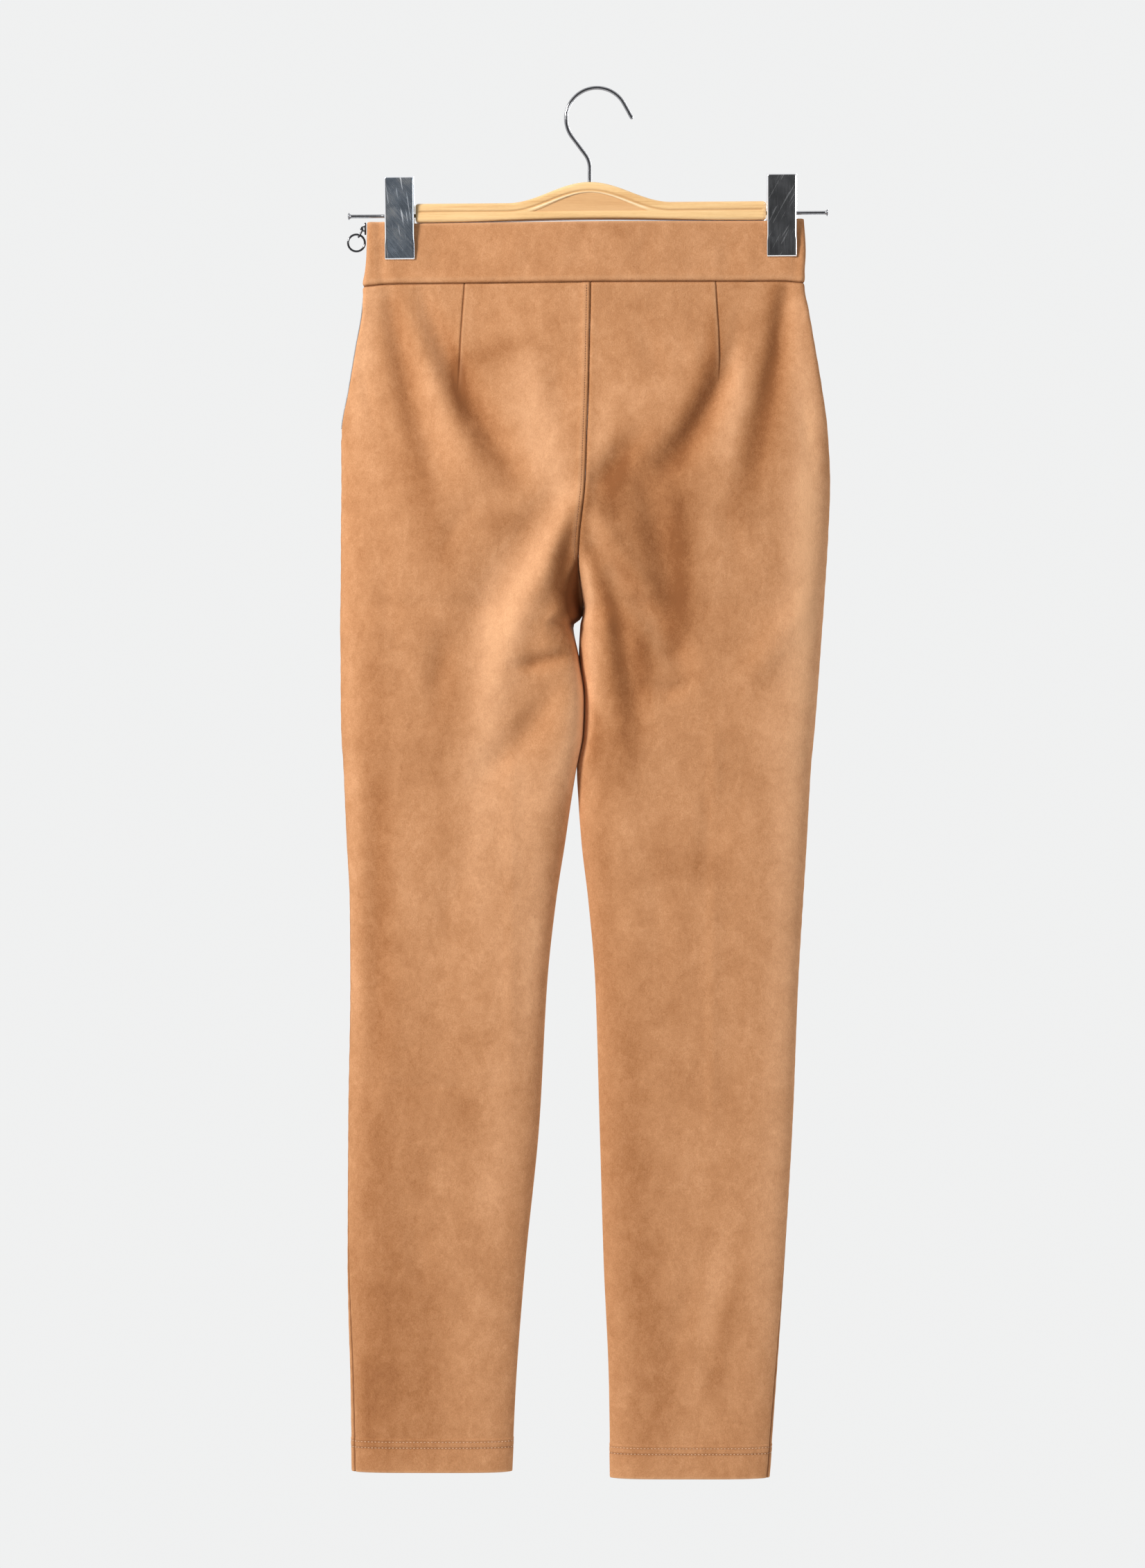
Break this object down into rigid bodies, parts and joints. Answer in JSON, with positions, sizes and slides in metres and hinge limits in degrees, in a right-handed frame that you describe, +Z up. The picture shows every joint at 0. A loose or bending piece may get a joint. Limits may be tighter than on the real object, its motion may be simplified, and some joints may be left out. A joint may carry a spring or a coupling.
{
  "type": "slim pants on a clip hanger",
  "caption": "Slim high-waisted suede pants with a side zip, hanging by the waistband from a wooden clip hanger with a wire hook.",
  "frame": {"origin": "inner top of the hanger's wire hook, where the rail carries it", "axes": "+Z up, -Y out of the back of the pants, -X towards the wearer's left, where the zip is"},
  "size_m": [0.3816, 0.0516, 1.0839],
  "materials": {
    "suede": "short brushed nap",
    "zip_tape": "woven tape",
    "chrome": "polished, with fine scratches",
    "wood": "clear satin varnish"
  },
  "bodies": {
    "root": {"back_left_hip": "suede", "back_left_thigh": "suede", "back_left_shin": "suede", "back_right_hip": "suede", "back_right_thigh": "suede", "back_right_shin": "suede", "front_left_hip": "suede", "front_left_thigh": "suede", "front_left_shin": "suede", "front_right_hip": "suede", "front_right_thigh": "suede", "front_right_shin": "suede", "waistband_back": "suede", "waistband_front": "suede", "zip_tape": "zip_tape", "zip_slider": "chrome", "hanger_bar": "wood", "rod_left": "chrome", "rod_right": "chrome", "clip_left_outer": "chrome", "clip_left_inner": "chrome", "clip_left_spring": "chrome", "clip_right_outer": "chrome", "clip_right_inner": "chrome", "clip_right_spring": "chrome", "hook": "chrome"},
    "zip_link": {"zip_link": "chrome"},
    "zip_ring": {"zip_ring": "chrome"}
  },
  "joints": [
    {"name": "zip_link_swing", "type": "hinge", "parent": "root", "child": "zip_link", "pos_m": [-0.1826, 0.0015, -0.1082], "axis": [0, 1, 0], "range_deg": [0, 55]},
    {"name": "zip_ring_flip", "type": "hinge", "parent": "zip_link", "child": "zip_ring", "pos_m": [-0.18513, 0.0015, -0.11298], "axis": [0.9397, 0, -0.342], "range_deg": [-80, 80]}
  ]
}
